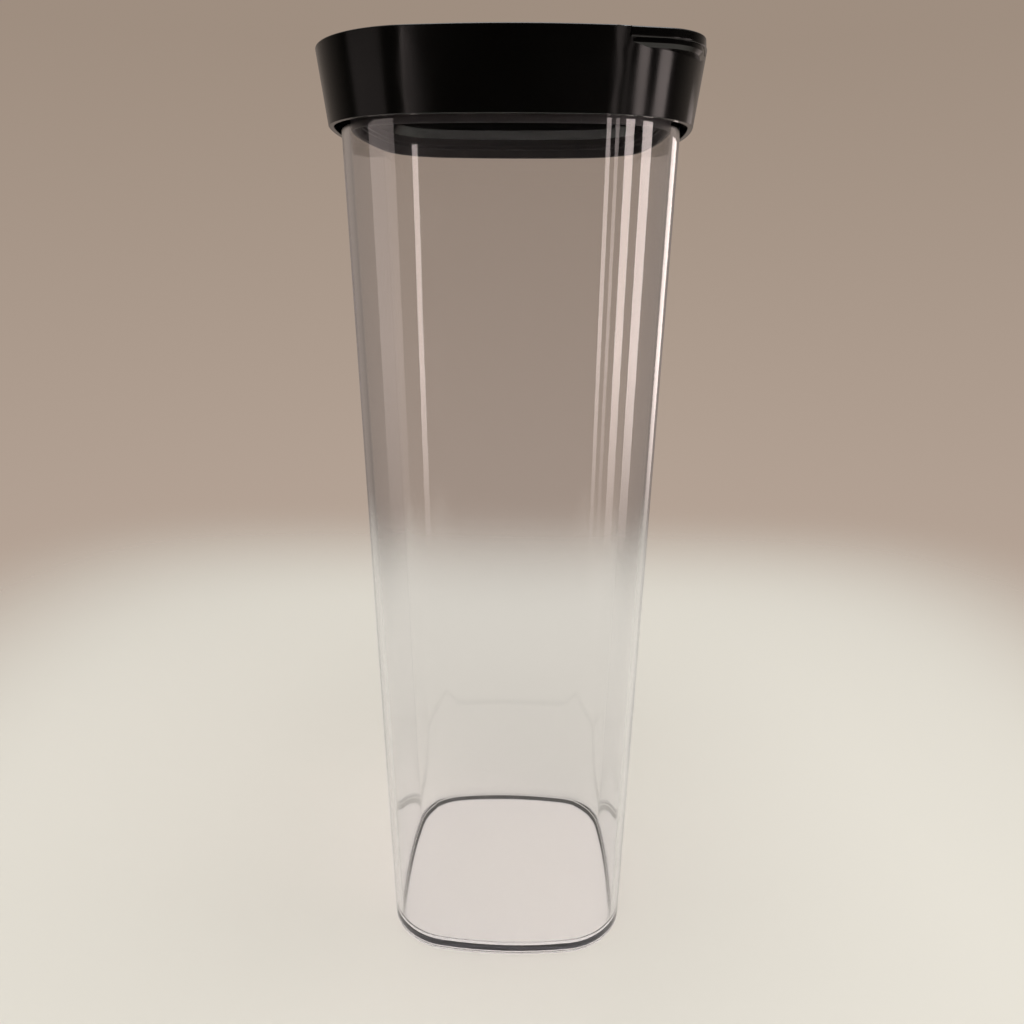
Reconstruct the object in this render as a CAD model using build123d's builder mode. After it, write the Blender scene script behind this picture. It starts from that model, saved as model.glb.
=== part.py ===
from build123d import *
import os
from math import atan, atan2, cos, degrees, radians, sqrt, tan

# Tall clear storage jar with a black lid that lifts off and pours from a flap at one corner.
# Millimetres, +Z up, origin at the centre of the foot on the table, front towards -Y.

# Plan outline at the foot: four bowed sides joined by tangent corner arcs
base_width = 95.4
side_radius = 170.0
corner_radius = 25.0

# Slant of every chamfer and bevel
bevel_angle = 45.0

# Jar
total_height = 314.0
rim_width = 105.0
jar_wall = 2.5
floor_thickness = 1.7
floor_radius = 4.0
foot_width = 2.4
foot_recess = 0.3
foot_radius = 0.4
rim_radius = 0.6

# Lid shell
lid_height = 20.2
skirt_reach = 3.6
lid_flare = 2.5
skirt_wall = 1.5
deck_thickness = 2.0
lid_edge_radius = 0.3
skirt_edge_radius = 0.2
seat_rib_width = 1.4

# Plug ring and seal
plug_clearance = 1.1
plug_wall = 4.1
plug_depth = 13.3
plug_chamfer = 2.8
seal_groove_depth = 1.0
seal_groove_height = 2.6
seal_bead_height = 0.8
seal_clearance = 0.3
seal_lip_depth = 6.4
seal_lip_thickness = 1.0
seal_tip_chamfer = 0.3
seal_rib_depth = 0.35
seal_rib_start = 2.8
seal_rib_pitch = 1.4
seal_rib_count = 2
seal_fit = 0.05

# Pour flap, placed along the diagonal that runs to the front right corner
flap_thickness = 2.5
flap_width = 33.0
flap_clearance = 0.25
lip_slant = 33.4
lip_nose_radius = 16.0
lip_edge_radius = 0.4
hinge_distance = 20.0
barrel_radius = 1.6
pin_radius = 1.0
pin_length = 2.2
pin_clearance = 0.05
pin_end_gap = 0.3
trough_clearance = 0.35
ledge_thickness = 1.5
ledge_border = 1.6
hinge_block_wall = 1.6
opening_start = 26.0
opening_length = 22.5
opening_width = 29.0
opening_corner = 7.0
closing_rim_clearance = 0.6
closing_rim_wall = 1.4
closing_rim_depth = 3.4
beak_inset = 0.5
beak_face = 1.1
beak_bevel = 0.9
beak_root = 5.5

# Heights
rim_height = total_height - flap_thickness - ledge_thickness
ledge_top = total_height - flap_thickness
hinge_height = total_height - barrel_radius
deck_underside = total_height - deck_thickness
skirt_bottom = total_height - lid_height
plug_bottom = deck_underside - plug_depth
groove_bottom = plug_bottom + seal_bead_height
groove_top = groove_bottom + seal_groove_height
seal_bottom = plug_bottom - seal_lip_depth

# Centres of the outline's arcs, shared by every outline because each one is an offset of the foot's
base_half = base_width / 2
bow_center = side_radius - base_half
corner_center = (sqrt(2 * (side_radius - corner_radius) ** 2 - bow_center**2) - bow_center) / 2
half_bow = degrees(atan2(corner_center, bow_center + corner_center))

# Outward offsets from the foot's outline
rim_growth = (rim_width - base_width) / 2
wall_draft = degrees(atan(rim_growth / rim_height))
flare_angle = degrees(atan(lid_flare / lid_height))


def jar_growth(height):
    """Offset of the jar's outer wall at a height."""
    return rim_growth * height / rim_height


def lid_growth(height):
    """Offset of the lid's outer face at a height."""
    return jar_growth(skirt_bottom) + skirt_reach + lid_flare * (height - skirt_bottom) / lid_height


def bowed_square(growth, turn=0, mode=Mode.ADD):
    """Face inside the jar's plan outline, moved outwards by growth and turned about the jar's axis."""
    with BuildLine() as outline:
        for quarter in range(4):
            heading = 90 * quarter + turn
            side_middle = Vector(0, bow_center).rotate(Axis.Z, heading)
            corner_middle = Vector(corner_center, -corner_center).rotate(Axis.Z, heading)
            CenterArc(side_middle, side_radius + growth, heading - 90 - half_bow, 2 * half_bow)
            CenterArc(corner_middle, corner_radius + growth, heading - 90 + half_bow, 90 - 2 * half_bow)
    make_face(outline.edges(), mode=mode)


def bowed_ring(outer_growth, wall):
    """Ring between the outline at outer_growth and the same outline moved inwards by wall."""
    bowed_square(outer_growth)
    bowed_square(outer_growth - wall, mode=Mode.SUBTRACT)


# Jar body: drafted shell with a rounded floor, standing on a foot ring
with BuildPart() as jar:
    with BuildSketch(Plane.XY):
        bowed_square(0)
    extrude(amount=rim_height, taper=-wall_draft)
    fillet(jar.edges().group_by(Axis.Z)[0], foot_radius)
    with BuildSketch():
        bowed_square(-foot_width)
    extrude(amount=foot_recess, mode=Mode.SUBTRACT)
    with BuildSketch(Plane.XY.offset(floor_thickness)):
        bowed_square(jar_growth(floor_thickness) - jar_wall)
    extrude(amount=rim_height - floor_thickness, taper=-wall_draft, mode=Mode.SUBTRACT)
    fillet(jar.edges().filter_by_position(Axis.Z, floor_thickness, floor_thickness), floor_radius)
    fillet(jar.edges().group_by(Axis.Z)[-1], rim_radius)
jar.part.label = "jar_body"

# Planes along the diagonal to the front right corner: local x runs to the corner, local y along the hinge
diagonal = Vector(1, -1, 0)
hinge_line = Vector(1, 1, 0)


def diagonal_plane(height):
    """Level plane at a height whose x axis runs along the diagonal."""
    return Plane(origin=(0, 0, height), x_dir=diagonal, z_dir=(0, 0, 1))


def along_diagonal(point):
    """Distance of a point from the jar's axis along the diagonal."""
    return diagonal_plane(0).to_local_coords(point).X


hinge_center = diagonal_plane(hinge_height).from_local_coords((hinge_distance, 0, 0))
hinge_plane = Plane(origin=hinge_center, x_dir=diagonal, z_dir=-hinge_line)
trough_radius = barrel_radius + trough_clearance
pocket_width = flap_width + 2 * flap_clearance
corner_axis = corner_center * sqrt(2)
corner_reach = corner_axis + corner_radius
turn_to_diagonal = 45

# The flap's lip leaves the lid's corner arc at the flap's sides and runs straight to a rounded nose
lip_start = corner_axis + sqrt((corner_radius + lid_growth(total_height)) ** 2 - (flap_width / 2) ** 2)
lip_apex = lip_start + flap_width / 2 * tan(radians(lip_slant))
nose_center = lip_apex - lip_nose_radius / cos(radians(lip_slant))
nose_joint = Vector(lip_nose_radius, 0).rotate(Axis.Z, lip_slant)


def tongue(start, width):
    """Rectangle that runs along the diagonal from start to well past the corner."""
    with Locations((start, 0)):
        Rectangle(2 * corner_reach, width, align=(Align.MIN, Align.CENTER))


def lip_plan(back):
    """Plan of the flap's lip and of all behind it as far as back."""
    side = flap_width / 2
    with BuildLine() as outline:
        nose = ThreePointArc(
            (nose_center + nose_joint.X, -nose_joint.Y),
            (nose_center + lip_nose_radius, 0),
            (nose_center + nose_joint.X, nose_joint.Y),
        )
        Polyline(nose @ 1, (lip_start, side), (back, side), (back, -side), (lip_start, -side), nose @ 0)
    make_face(outline.edges())


def pour_outline(inset, mode=Mode.ADD):
    """Rounded outline of the pour opening, moved inwards by inset."""
    with Locations((opening_start + opening_length / 2, 0)):
        length, width = opening_length - 2 * inset, opening_width - 2 * inset
        RectangleRounded(length, width, opening_corner - inset, mode=mode)


# Offsets of the lid's inner rings
plug_growth = rim_growth - jar_wall - plug_clearance
seat_growth = rim_growth - (jar_wall - seat_rib_width) / 2
seal_growth = jar_growth(seal_bottom) - jar_wall - seal_clearance
bead_growth = seal_growth - seal_lip_thickness - seal_fit

# Lid frame: flared shell with a seat rib over the jar's rim, a plug ring and the flap's pocket
with BuildPart() as frame:
    with BuildSketch(Plane.XY.offset(skirt_bottom)):
        bowed_square(lid_growth(skirt_bottom))
    extrude(amount=lid_height, taper=-flare_angle)
    fillet(frame.edges().group_by(Axis.Z)[-1], lid_edge_radius)
    with BuildSketch(Plane.XY.offset(skirt_bottom)):
        bowed_square(lid_growth(skirt_bottom) - skirt_wall)
    extrude(amount=lid_height - deck_thickness, taper=-flare_angle, mode=Mode.SUBTRACT)
    fillet(frame.faces().sort_by(Axis.Z)[0].outer_wire().edges(), skirt_edge_radius)
    with BuildSketch(Plane.XY.offset(rim_height)):
        bowed_ring(seat_growth, seat_rib_width)
    extrude(amount=deck_underside - rim_height)
    with BuildSketch(Plane.XY.offset(plug_bottom)):
        bowed_ring(plug_growth, plug_wall)
    extrude(amount=plug_depth)
    # Chamfer inside the plug ring's lower edge, then the groove and bead that hold the seal
    with BuildSketch(Plane.XY.offset(plug_bottom)):
        bowed_square(plug_growth - plug_wall + plug_chamfer)
    extrude(amount=plug_chamfer, taper=bevel_angle, mode=Mode.SUBTRACT)
    with BuildSketch(Plane.XY.offset(groove_bottom)):
        bowed_ring(plug_growth, seal_groove_depth)
    extrude(amount=seal_groove_height, mode=Mode.SUBTRACT)
    with BuildSketch(Plane.XY.offset(plug_bottom)):
        bowed_ring(plug_growth, plug_growth - bead_growth)
    extrude(amount=seal_bead_height, mode=Mode.SUBTRACT)
    # Ledge under the flap and block round its hinge
    with BuildSketch(diagonal_plane(rim_height)):
        tongue(hinge_distance, pocket_width + 2 * ledge_border)
        bowed_square(lid_growth(rim_height) - skirt_wall / 2, turn_to_diagonal, mode=Mode.INTERSECT)
    extrude(amount=total_height - rim_height)
    with BuildSketch(hinge_plane):
        block_depth = trough_radius + hinge_block_wall
        Rectangle(2 * block_depth, block_depth, align=(Align.CENTER, Align.MAX))
    extrude(amount=pocket_width / 2 + pin_length + hinge_block_wall, both=True)
    # Pocket, hinge trough, pin bores and pour opening
    with BuildSketch(diagonal_plane(ledge_top)):
        tongue(hinge_distance - trough_radius, pocket_width)
    extrude(amount=flap_thickness, mode=Mode.SUBTRACT)
    with BuildSketch(hinge_plane):
        Circle(trough_radius)
    extrude(amount=pocket_width / 2, both=True, mode=Mode.SUBTRACT)
    with BuildSketch(hinge_plane):
        Circle(pin_radius + pin_clearance)
    extrude(amount=flap_width / 2 + pin_length + pin_end_gap, both=True, mode=Mode.SUBTRACT)
    with BuildSketch(diagonal_plane(rim_height)):
        pour_outline(0)
    extrude(amount=ledge_thickness, mode=Mode.SUBTRACT)
    # Beak under the flap's lip, bevelled below so that a finger gets under it
    for top, depth, slant in ((ledge_top, beak_face, 0), (ledge_top - beak_face, beak_bevel, bevel_angle)):
        with BuildSketch(diagonal_plane(top)):
            lip_plan(corner_reach + lid_growth(ledge_top) - beak_root)
            offset(amount=-beak_inset, mode=Mode.REPLACE)
        extrude(amount=-depth, taper=slant)
frame.part.label = "lid_frame"

# Lid seal: root in the plug's groove, with a long lip that hangs along the jar's wall and is ribbed inside
with BuildPart() as seal:
    with BuildSketch(Plane.XY.offset(seal_bottom)):
        bowed_ring(seal_growth, seal_lip_thickness)
    extrude(amount=groove_top - seal_bottom)
    chamfer(seal.edges().group_by(Axis.Z)[0], seal_tip_chamfer)
    with BuildSketch(Plane.XY.offset(groove_bottom)):
        bowed_ring(seal_growth, seal_growth - plug_growth + seal_groove_depth - seal_fit)
    extrude(amount=seal_groove_height)
    for rib in range(seal_rib_count):
        with BuildSketch(Plane.XY.offset(seal_bottom + seal_rib_start + rib * seal_rib_pitch)):
            bowed_ring(seal_growth - seal_lip_thickness / 2, seal_lip_thickness / 2)
        extrude(amount=seal_rib_depth, taper=-bevel_angle)
seal.part.label = "lid_seal"

# Pour flap: plate with a pointed thumb lip, hinge barrel with pins, and a rim that closes the opening
with BuildPart() as flap:
    with BuildSketch(diagonal_plane(ledge_top)):
        lip_plan(hinge_distance)
    extrude(amount=flap_thickness)
    level_edges = flap.edges().filter_by(Axis.Z, reverse=True)
    fillet(level_edges.filter_by(lambda edge: along_diagonal(edge.center()) > lip_start), lip_edge_radius)
    with BuildSketch(hinge_plane):
        Circle(barrel_radius)
    extrude(amount=flap_width / 2, both=True)
    with BuildSketch(hinge_plane):
        Circle(pin_radius)
    extrude(amount=flap_width / 2 + pin_length, both=True)
    with BuildSketch(diagonal_plane(ledge_top)):
        pour_outline(closing_rim_clearance)
        pour_outline(closing_rim_clearance + closing_rim_wall, mode=Mode.SUBTRACT)
    extrude(amount=-closing_rim_depth)
flap.part.label = "pour_flap"

os.makedirs("parts", exist_ok=True)
for piece in (jar, frame, seal, flap):
    export_step(piece.part, f"parts/{piece.part.label}.step")
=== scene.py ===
"""Looks of a tall clear storage jar with a black pour lid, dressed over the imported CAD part."""

import logging
from dataclasses import dataclass
from enum import Enum
from math import atan2, copysign, cos, pi, radians, sin, sqrt
from typing import Any

import bmesh
import bpy
from mathutils import Matrix, Vector


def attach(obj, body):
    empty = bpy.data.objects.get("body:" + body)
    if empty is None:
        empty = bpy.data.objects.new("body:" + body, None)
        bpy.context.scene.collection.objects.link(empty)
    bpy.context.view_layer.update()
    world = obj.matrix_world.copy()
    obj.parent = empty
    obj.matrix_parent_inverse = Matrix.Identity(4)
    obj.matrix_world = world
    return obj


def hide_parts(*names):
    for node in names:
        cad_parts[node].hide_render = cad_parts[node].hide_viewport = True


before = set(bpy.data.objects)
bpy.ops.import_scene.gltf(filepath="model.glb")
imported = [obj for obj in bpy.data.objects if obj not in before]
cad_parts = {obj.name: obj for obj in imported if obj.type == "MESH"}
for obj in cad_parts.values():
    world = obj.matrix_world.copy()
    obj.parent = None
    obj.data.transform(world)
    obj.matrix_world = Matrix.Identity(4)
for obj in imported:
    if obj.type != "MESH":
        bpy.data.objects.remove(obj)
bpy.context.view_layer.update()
log = logging.getLogger("storage_jar")

Color = tuple[float, float, float]
Place = tuple[float, float, float]
Span = tuple[float, float]
Socket = bpy.types.NodeSocket


class Body(Enum):
    """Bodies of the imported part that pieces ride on."""

    JAR = "jar"
    LID = "lid"
    FLAP = "flap"


class Node(Enum):
    """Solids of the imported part."""

    JAR_BODY = "jar_body"
    LID_FRAME = "lid_frame"
    LID_SEAL = "lid_seal"
    POUR_FLAP = "pour_flap"


class Slot(Enum):
    """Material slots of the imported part."""

    CLEAR_PLASTIC = "clear_plastic"
    BLACK_PLASTIC = "black_plastic"
    SEAL_RUBBER = "seal_rubber"


class NodeGraph:
    """A material's, light's or world's node tree, with short ways to add and join its nodes.

    Blender's mix node has sockets of the same name for each kind of data, so those for colours are
    given by number.
    """

    mix_share = 0
    mix_first = 6
    mix_second = 7
    mix_result = 2

    def __init__(self, tree: bpy.types.NodeTree) -> None:
        """Starts from an empty tree.

        Args:
            tree: The node tree of a material, a light or the world.
        """
        self.tree = tree
        tree.nodes.clear()

    def add(self, kind: str, inputs: dict[str | int, Any] | None = None,
            **settings: Any) -> bpy.types.Node:
        """Adds a node.

        Args:
            kind: Blender's name of the node type.
            inputs: Values for the node's inputs; an output socket as a value is linked instead.
            **settings: Properties of the node.

        Returns:
            The new node.
        """
        node = self.tree.nodes.new(kind)
        for name, value in settings.items():
            setattr(node, name, value)
        for key, value in (inputs or {}).items():
            if isinstance(value, Socket):
                self.tree.links.new(value, node.inputs[key])
            else:
                node.inputs[key].default_value = value
        return node

    def place(self) -> Socket:
        """Returns the socket that gives a point's place on the object, in metres."""
        return self.add("ShaderNodeTexCoord").outputs["Object"]

    def noise(self, place: Socket, size: float, detail: float = 2.0) -> Socket:
        """Adds soft noise.

        Args:
            place: Where the pattern is read.
            size: Size of its blots in metres.
            detail: How much finer noise is laid over it.

        Returns:
            The noise's value, from 0 to 1.
        """
        inputs = {"Vector": place, "Scale": 1 / size, "Detail": detail}
        return self.add("ShaderNodeTexNoise", inputs).outputs["Fac"]

    def remap(self, value: Socket, low: float, high: float, start: float = 0.3,
              end: float = 0.7) -> Socket:
        """Stretches a value to a new range.

        Args:
            value: The value to stretch.
            low: Result at start and below.
            high: Result at end and above.
            start: Value that gives low.
            end: Value that gives high.

        Returns:
            The stretched value.
        """
        inputs = {"Value": value, "From Min": start, "From Max": end, "To Min": low, "To Max": high}
        return self.add("ShaderNodeMapRange", inputs).outputs["Result"]

    def math(self, operation: str, *values: Socket | float) -> Socket:
        """Works out a sum.

        Args:
            operation: Blender's name of the sum.
            *values: What goes into it.

        Returns:
            Its result.
        """
        return self.add("ShaderNodeMath", dict(enumerate(values)), operation=operation).outputs[0]

    def blend(self, share: Socket, first: Color | Socket, second: Color | Socket) -> Socket:
        """Mixes two colours.

        Args:
            share: Share of the second colour.
            first: Colour where share is 0.
            second: Colour where share is 1.

        Returns:
            The mixed colour.
        """
        inputs = {self.mix_share: share}
        for key, end in ((self.mix_first, first), (self.mix_second, second)):
            inputs[key] = end if isinstance(end, Socket) else (*end, 1)
        return self.add("ShaderNodeMix", inputs, data_type="RGBA").outputs[self.mix_result]

    def bump(self, height: Socket, depth: float) -> Socket:
        """Turns a pattern into a fine relief.

        Args:
            height: The pattern, from 0 to 1.
            depth: Height of the relief in metres.

        Returns:
            The bumped normal.
        """
        inputs = {"Height": height, "Distance": depth, "Strength": 1.0}
        return self.add("ShaderNodeBump", inputs).outputs["Normal"]

    def surface(self, shader: Socket) -> bpy.types.Node:
        """Joins a shader to the material's output and returns the output node."""
        return self.add("ShaderNodeOutputMaterial", {"Surface": shader})


@dataclass(frozen=True)
class ClearPlastic:
    """Clear moulded plastic with a faint violet depth at its edges."""

    name: str = "clear_moulding"
    tint: Color = (0.988, 0.987, 0.989)
    shadow_tint: Color = (0.955, 0.954, 0.955)
    refraction: float = 1.57
    depth_tint: Color = (0.42, 0.43, 0.62)
    depth_density: float = 15.0
    flow_size: float = 0.045
    flow_height: float = 0.00006
    haze_size: float = 0.02
    haze: float = 0.035

    def material(self) -> bpy.types.Material:
        """Returns the finish as a material."""
        material = bpy.data.materials.new(self.name)
        material.use_nodes = True
        graph = NodeGraph(material.node_tree)
        place = graph.place()
        flow = graph.bump(graph.noise(place, self.flow_size, detail=0), self.flow_height)
        haze = graph.remap(graph.noise(place, self.haze_size), 0, self.haze)
        plastic = graph.add("ShaderNodeBsdfPrincipled", {
            "Base Color": (*self.tint, 1), "Roughness": haze, "IOR": self.refraction,
            "Transmission Weight": 1.0, "Normal": flow,
        })
        let_through = graph.add("ShaderNodeBsdfTransparent", {"Color": (*self.shadow_tint, 1)})
        path = graph.add("ShaderNodeLightPath").outputs
        shader = graph.add("ShaderNodeMixShader", {
            0: path["Is Shadow Ray"], 1: plastic.outputs[0], 2: let_through.outputs[0],
        })
        output = graph.surface(shader.outputs[0])
        depth = graph.add("ShaderNodeVolumeAbsorption", {
            "Color": (*self.depth_tint, 1), "Density": self.depth_density,
        })
        graph.tree.links.new(depth.outputs[0], output.inputs["Volume"])
        return material


@dataclass(frozen=True)
class BlackPlastic:
    """Black moulded plastic with a fine even grain and a satin gloss."""

    name: str = "black_moulding"
    dark: Color = (0.0022, 0.0018, 0.0014)
    pale: Color = (0.0040, 0.0035, 0.0030)
    cloud_size: float = 0.03
    grain_size: float = 0.00035
    grain_height: float = 0.000006
    gloss_size: float = 0.012
    smooth: float = 0.13
    rough: float = 0.19

    def material(self) -> bpy.types.Material:
        """Returns the finish as a material."""
        material = bpy.data.materials.new(self.name)
        material.use_nodes = True
        graph = NodeGraph(material.node_tree)
        place = graph.place()
        cloud = graph.remap(graph.noise(place, self.cloud_size), 0, 1)
        color = graph.blend(cloud, self.dark, self.pale)
        gloss = graph.remap(graph.noise(place, self.gloss_size, detail=4), self.smooth, self.rough)
        grain = graph.bump(graph.noise(place, self.grain_size, detail=1), self.grain_height)
        plastic = graph.add("ShaderNodeBsdfPrincipled", {
            "Base Color": color, "Roughness": gloss, "Normal": grain,
        })
        graph.surface(plastic.outputs[0])
        return material


@dataclass(frozen=True)
class SealRubber:
    """Soft dark rubber with a matt, slightly dusty skin."""

    name: str = "seal_skin"
    dark: Color = (0.011, 0.0090, 0.0084)
    dusty: Color = (0.024, 0.0200, 0.0190)
    dust_size: float = 0.006
    skin_size: float = 0.0006
    skin_height: float = 0.00001
    smooth: float = 0.5
    rough: float = 0.68

    def material(self) -> bpy.types.Material:
        """Returns the finish as a material."""
        material = bpy.data.materials.new(self.name)
        material.use_nodes = True
        graph = NodeGraph(material.node_tree)
        place = graph.place()
        dust = graph.noise(place, self.dust_size, detail=3)
        color = graph.blend(graph.remap(dust, 0, 1), self.dark, self.dusty)
        skin = graph.bump(graph.noise(place, self.skin_size, detail=1), self.skin_height)
        gloss = graph.remap(dust, self.smooth, self.rough)
        rubber = graph.add("ShaderNodeBsdfPrincipled", {
            "Base Color": color, "Roughness": gloss, "Normal": skin,
        })
        graph.surface(rubber.outputs[0])
        return material


@dataclass(frozen=True)
class Moulding:
    """One moulded piece, made from its CAD solid with round faces that run on without a crease."""

    name: str
    node: Node
    body: Body
    slot: Slot
    merge_distance: float = 1e-6
    crease_angle: float = radians(30)

    def build(self) -> bpy.types.Object:
        """Copies the solid as one closed skin with even shading, and puts it in the solid's place.

        Returns:
            The new piece.
        """
        form = bmesh.new()
        form.from_mesh(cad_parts[self.node.value].data)
        bmesh.ops.remove_doubles(form, verts=form.verts, dist=self.merge_distance)
        for face in form.faces:
            face.smooth = True
        for edge in form.edges:
            edge.smooth = edge.calc_face_angle() < self.crease_angle
        mesh = bpy.data.meshes.new(self.name)
        form.to_mesh(mesh)
        form.free()
        mesh.attributes.remove(mesh.attributes["custom_normal"])
        mesh.materials.clear()
        piece = bpy.data.objects.new(self.name, mesh)
        bpy.context.scene.collection.objects.link(piece)
        shading = piece.modifiers.new("even_shading", "WEIGHTED_NORMAL")
        shading.mode = "FACE_AREA_WITH_ANGLE"
        shading.keep_sharp = True
        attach(piece, self.body.value)
        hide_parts(self.node.value)
        return piece

    def dress(self, material: bpy.types.Material) -> bpy.types.Object:
        """Builds the piece in its finish.

        Args:
            material: The finish.

        Returns:
            The dressed piece.
        """
        piece = self.build()
        piece.data.materials.append(material)
        log.info("%s: %d faces in %s", piece.name, len(piece.data.polygons), material.name)
        return piece


@dataclass
class Jar:
    """Clear jar that stands on a narrow foot ring.

    Its plan has four bowed sides and tangent corner arcs. The centres of these arcs, in metres from
    the jar's axis, are the same for every outline of the wall.
    """

    walls: Moulding = Moulding("jar_walls", Node.JAR_BODY, Body.JAR, Slot.CLEAR_PLASTIC)
    finish: ClearPlastic = ClearPlastic()
    side_center: float = 0.1223
    corner_center: float = 0.021149
    half_bow: float = radians(8.387)
    floor_height: float = 0.0017
    floor_radius: float = 0.004
    level_limit: float = 0.05

    def heading(self, point: Vector) -> Vector:
        """Finds the way that the plan's arc faces at a point on the wall.

        Args:
            point: A point on the wall, inside or out.

        Returns:
            A level unit vector that points outwards.
        """
        across, along = abs(point.x), abs(point.y)
        short, long = sorted((across, along))
        bow = atan2(short - self.corner_center, long - self.corner_center)
        if bow > self.half_bow:
            level = Vector((across - self.corner_center, along - self.corner_center, 0))
        elif across > along:
            level = Vector((across + self.side_center, along, 0))
        else:
            level = Vector((across, along + self.side_center, 0))
        return Vector((copysign(level.x, point.x), copysign(level.y, point.y), 0)).normalized()

    def facing(self, point: Vector, normal: Vector) -> Vector:
        """Turns a shading normal square to the arcs that the jar's rounded faces follow.

        Args:
            point: The place of the normal.
            normal: The normal as the facets give it.

        Returns:
            The true normal, which on a level face is the facets' own.
        """
        if normal.xy.length < self.level_limit:
            return normal
        outward = self.heading(point)
        lift = normal.z
        inside = outward.dot(normal) < 0
        middle = self.floor_height + self.floor_radius
        if inside and self.floor_height < point.z < middle:
            lift = (middle - point.z) / self.floor_radius
        level = outward * sqrt(1 - lift * lift) * (-1 if inside else 1)
        return Vector((level.x, level.y, lift))

    def dress(self) -> list[bpy.types.Object]:
        """Builds the jar in clear plastic with true normals, and returns its pieces."""
        piece = self.walls.dress(self.finish.material())
        shaded = piece.evaluated_get(bpy.context.evaluated_depsgraph_get()).data
        normals = [
            self.facing(shaded.vertices[loop.vertex_index].co, corner.vector)
            for loop, corner in zip(shaded.loops, shaded.corner_normals)
        ]
        piece.modifiers.clear()
        piece.data.normals_split_custom_set(normals)
        return [piece]


@dataclass
class Lid:
    """Black lid shell with the soft seal round its plug, and the flap over its pour opening."""

    shell: Moulding = Moulding("lid_shell", Node.LID_FRAME, Body.LID, Slot.BLACK_PLASTIC)
    flap: Moulding = Moulding("flap_plate", Node.POUR_FLAP, Body.FLAP, Slot.BLACK_PLASTIC)
    seal: Moulding = Moulding("seal_ring", Node.LID_SEAL, Body.LID, Slot.SEAL_RUBBER)
    plastic: BlackPlastic = BlackPlastic()
    rubber: SealRubber = SealRubber()

    def dress(self) -> list[bpy.types.Object]:
        """Builds shell and flap in black plastic and the seal in rubber, and returns them."""
        black = self.plastic.material()
        plastics = [self.shell.dress(black), self.flap.dress(black)]
        return [*plastics, self.seal.dress(self.rubber.material())]


@dataclass(frozen=True)
class StripLight:
    """Upright strip light beside the jar, which shows only as a gloss streak that fades out below.

    It stands on the floor's level. The heading is in degrees from the front towards the right. The
    lid is shaded from part of the light.
    """

    name: str
    heading: float
    width: float
    on_jar: float
    on_lid: float
    high: float = 0.335
    fade_share: float = 0.5
    distance: float = 0.45
    color: Color = (1.0, 0.85, 0.81)

    def build(self, radiance: float, lit: bpy.types.Collection) -> None:
        """Stands the strip up for some of the pieces.

        Args:
            radiance: How bright it looks in them as in a mirror.
            lit: The pieces that it lights.
        """
        data = bpy.data.lights.new(f"{self.name}_{lit.name}", "AREA")
        data.shape = "RECTANGLE"
        data.size, data.size_y = self.width, self.high
        data.energy = radiance * pi * data.size * data.size_y
        data.color = self.color
        data.use_nodes = True
        graph = NodeGraph(data.node_tree)
        spot = graph.add("ShaderNodeNewGeometry").outputs["Parametric"]
        rise = graph.add("ShaderNodeSeparateXYZ", {0: spot}).outputs["Y"]
        strength = graph.remap(rise, 0, 1, 0, self.fade_share)
        glow = graph.add("ShaderNodeEmission", {"Strength": strength})
        graph.add("ShaderNodeOutputLight", {"Surface": glow.outputs[0]})
        light = bpy.data.objects.new(data.name, data)
        bpy.context.scene.collection.objects.link(light)
        light.light_linking.receiver_collection = lit
        light.visible_camera = light.visible_transmission = light.visible_diffuse = False
        turn = radians(self.heading)
        middle = (self.distance * sin(turn), -self.distance * cos(turn), self.high / 2)
        upright = Matrix.Rotation(turn, 4, "Z") @ Matrix.Rotation(radians(90), 4, "X")
        light.matrix_world = Matrix.Translation(middle) @ upright


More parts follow.
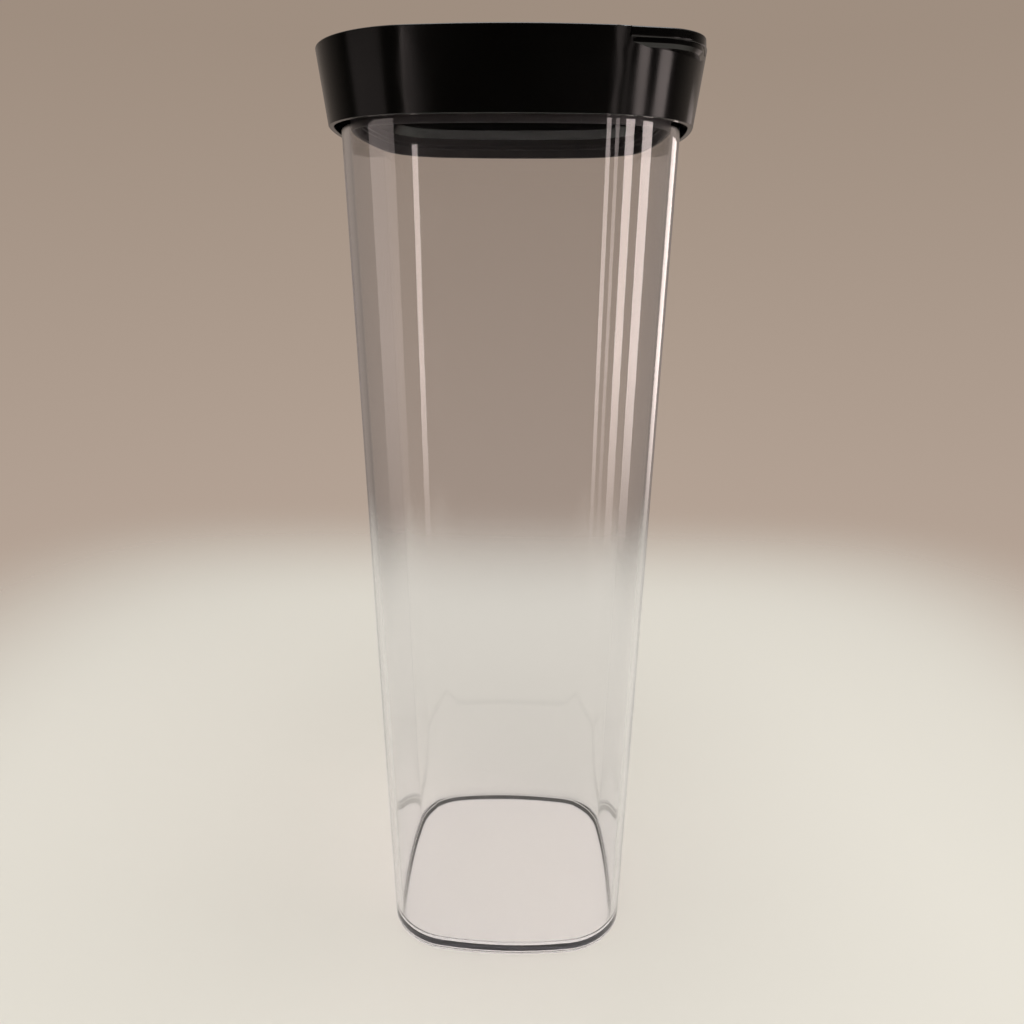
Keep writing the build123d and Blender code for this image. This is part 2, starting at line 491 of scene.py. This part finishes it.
@dataclass
class Studio:
    """Pale floor that fades into a backdrop with painted shade towards its top, soft light and the
    camera.

    The camera's pitch, pan and roll and the jar's turn are in degrees.
    """

    floor_half: float = 0.70
    fade_start: float = 0.24
    fade_end: float = 0.54
    fade_squareness: float = 5.0
    floor_color: Color = (0.70, 0.675, 0.61)
    # Painted shade: the backdrop is painted paler low down, as if lit there, and darker higher up,
    # as if in shade.
    backdrop_lit: Color = (0.47, 0.375, 0.31)
    backdrop_shaded: Color = (0.345, 0.27, 0.215)
    mirror_front: Color = (0.012, 0.011, 0.010)
    mirror_rear: Color = (0.30, 0.25, 0.215)
    mirror_ceiling: Color = (0.50, 0.48, 0.46)
    backdrop_span: Span = (-0.40, 0.20)
    rear_span: Span = (0.0, 0.8)
    horizon_span: Span = (0.3, 0.5)
    ceiling_span: Span = (0.35, 0.8)
    crossing_limit: float = 0.5
    fill_color: Color = (1.0, 0.97, 0.93)
    fill_low: float = 0.05
    fill_high: float = 0.75
    fill_span: Span = (0.1, 0.9)
    overhead_power: float = 12.0
    overhead_size: float = 0.9
    overhead_place: Place = (0.1, -0.15, 1.25)
    floor_roughness: float = 0.45
    floor_gap: float = 0.00015
    light_bounces: int = 128
    lens: float = 28.125
    eye_distance: float = 0.28706
    eye_height: float = 0.26169
    eye_shift: float = -0.0016
    pitch: float = 18.615
    pan: float = 0.4419
    roll: float = 0.3472
    jar_turn: float = -1.9653
    near_clip: float = 0.01
    strips: tuple[StripLight, ...] = (
        StripLight("right_thin", 29, 0.036, 5.6, 0.90),
        StripLight("right_faint", 38, 0.032, 3.1, 0.42),
        StripLight("right_front", 52, 0.078, 8.2, 2.5),
        StripLight("right", 74, 0.105, 8.0, 2.6),
        StripLight("right_back", 130, 0.13, 3.5, 0.55),
        StripLight("left_front", -25.5, 0.022, 6.4, 1.5, high=0.315),
        StripLight("left", -62, 0.26, 1.5, 0.30),
    )

    def build_camera(self) -> None:
        """Sets the camera where the photograph was taken from."""
        data = bpy.data.cameras.new("camera")
        data.lens = self.lens
        data.clip_start = self.near_clip
        camera = bpy.data.objects.new("camera", data)
        bpy.context.scene.collection.objects.link(camera)
        about_jar = Matrix.Rotation(radians(-self.jar_turn), 4, "Z")
        eye = Matrix.Translation((self.eye_shift, -self.eye_distance, self.eye_height))
        pan = Matrix.Rotation(radians(-self.pan), 4, "Z")
        tilt = Matrix.Rotation(radians(90 - self.pitch), 4, "X")
        roll = Matrix.Rotation(radians(self.roll), 4, "Z")
        camera.matrix_world = about_jar @ eye @ (pan @ tilt) @ roll
        bpy.context.scene.camera = camera

    def build_floor(self) -> None:
        """Lays the floor, which turns clear towards its edges and so melts into the backdrop."""
        mesh = bpy.data.meshes.new("floor")
        form = bmesh.new()
        bmesh.ops.create_grid(form, x_segments=1, y_segments=1, size=self.floor_half)
        bmesh.ops.translate(form, verts=form.verts, vec=(0, 0, -self.floor_gap))
        form.to_mesh(mesh)
        form.free()
        floor = bpy.data.objects.new("floor", mesh)
        bpy.context.scene.collection.objects.link(floor)
        material = bpy.data.materials.new("floor")
        material.use_nodes = True
        graph = NodeGraph(material.node_tree)
        reach = self.rounded_reach(graph)
        fade = graph.add("ShaderNodeMapRange", {
            "Value": reach, "From Min": self.fade_start, "From Max": self.fade_end,
        }, interpolation_type="SMOOTHERSTEP").outputs["Result"]
        top = graph.add("ShaderNodeBsdfPrincipled", {
            "Base Color": (*self.floor_color, 1), "Roughness": self.floor_roughness,
        })
        clear = graph.add("ShaderNodeBsdfTransparent")
        shader = graph.add("ShaderNodeMixShader", {0: fade, 1: top.outputs[0], 2: clear.outputs[0]})
        graph.surface(shader.outputs[0])
        mesh.materials.append(material)

    def rounded_reach(self, graph: NodeGraph) -> Socket:
        """Measures how far out a point of the floor lies, on squares with rounded corners.

        Args:
            graph: The floor's node tree.

        Returns:
            The reach in metres.
        """
        inputs = {0: graph.place()}
        place = graph.add("ShaderNodeVectorMath", inputs, operation="ABSOLUTE").outputs[0]
        sides = graph.add("ShaderNodeSeparateXYZ", {0: place}).outputs
        powers = [graph.math("POWER", sides[name], self.fade_squareness) for name in ("X", "Y")]
        return graph.math("POWER", graph.math("ADD", *powers), 1 / self.fade_squareness)

    def build_world(self) -> None:
        """Makes the backdrop, painted paler below and darker above as painted shade, the room that
        mirrored light shows, and the light that fills shade.

        The spans are ranges of the view's direction: its height, or for the rear its reach to the
        back. The ceiling shows only in open reflections, on paths that have crossed no clear wall.
        """
        world = bpy.data.worlds.new("studio")
        bpy.context.scene.world = world
        world.use_nodes = True
        world.cycles.sampling_method = "NONE"
        graph = NodeGraph(world.node_tree)
        direction = graph.add("ShaderNodeTexCoord").outputs["Generated"]
        toward = graph.add("ShaderNodeSeparateXYZ", {0: direction})
        height = toward.outputs["Z"]
        path = graph.add("ShaderNodeLightPath").outputs
        # Painted shade: the backdrop darkens with height, standing in for light that falls off up
        # the wall.
        rise = graph.remap(height, 0, 1, *self.backdrop_span)
        backdrop = graph.blend(rise, self.backdrop_lit, self.backdrop_shaded)
        rear = graph.remap(toward.outputs["Y"], 0, 1, *self.rear_span)
        low_rear = graph.math("MULTIPLY", rear, graph.remap(height, 1, 0, *self.horizon_span))
        around = graph.blend(low_rear, self.mirror_front, self.mirror_rear)
        outside = graph.math("LESS_THAN", path["Transmission Depth"], self.crossing_limit)
        ceiling = graph.math("MULTIPLY", outside, graph.remap(height, 0, 1, *self.ceiling_span))
        mirror = graph.blend(ceiling, around, self.mirror_ceiling)
        room = graph.blend(path["Glossy Depth"], backdrop, mirror)
        seen = graph.add("ShaderNodeBackground", {"Color": room, "Strength": 1.0})
        fill = graph.remap(height, self.fill_low, self.fill_high, *self.fill_span)
        lit = graph.add("ShaderNodeBackground", {"Color": (*self.fill_color, 1), "Strength": fill})
        mix = graph.add("ShaderNodeMixShader", {
            0: path["Is Diffuse Ray"], 1: seen.outputs[0], 2: lit.outputs[0],
        })
        graph.add("ShaderNodeOutputWorld", {"Surface": mix.outputs[0]})

    def build_overhead(self) -> None:
        """Hangs a broad softbox overhead."""
        data = bpy.data.lights.new("overhead", "AREA")
        data.size = self.overhead_size
        data.energy = self.overhead_power
        light = bpy.data.objects.new("overhead", data)
        bpy.context.scene.collection.objects.link(light)
        light.visible_camera = light.visible_transmission = False
        light.matrix_world = Matrix.Translation(self.overhead_place)

    def build_strips(self, jar: list[bpy.types.Object], lid: list[bpy.types.Object]) -> None:
        """Stands the strip lights round the jar.

        Args:
            jar: Pieces of the jar.
            lid: Pieces of the lid.
        """
        groups = {name: bpy.data.collections.new(name) for name in ("on_jar", "on_lid")}
        for group, pieces in zip(groups.values(), (jar, lid)):
            for piece in pieces:
                group.objects.link(piece)
        for strip in self.strips:
            strip.build(strip.on_jar, groups["on_jar"])
            strip.build(strip.on_lid, groups["on_lid"])

    def build(self, jar: list[bpy.types.Object], lid: list[bpy.types.Object]) -> None:
        """Builds the studio, and lets light bounce on inside the clear walls until it comes out.

        Args:
            jar: Pieces of the jar.
            lid: Pieces of the lid.
        """
        scene = bpy.context.scene
        scene.view_settings.view_transform = "Standard"
        scene.cycles.max_bounces = scene.cycles.glossy_bounces = self.light_bounces
        scene.cycles.transmission_bounces = self.light_bounces
        self.build_camera()
        self.build_floor()
        self.build_world()
        self.build_overhead()
        self.build_strips(jar, lid)


def main() -> None:
    """Dresses the part and builds the studio round it."""
    logging.basicConfig(level=logging.INFO, format="%(message)s")
    jar = Jar().dress()
    lid = Lid().dress()
    Studio().build(jar, lid)


if __name__ == "__main__":
    main()
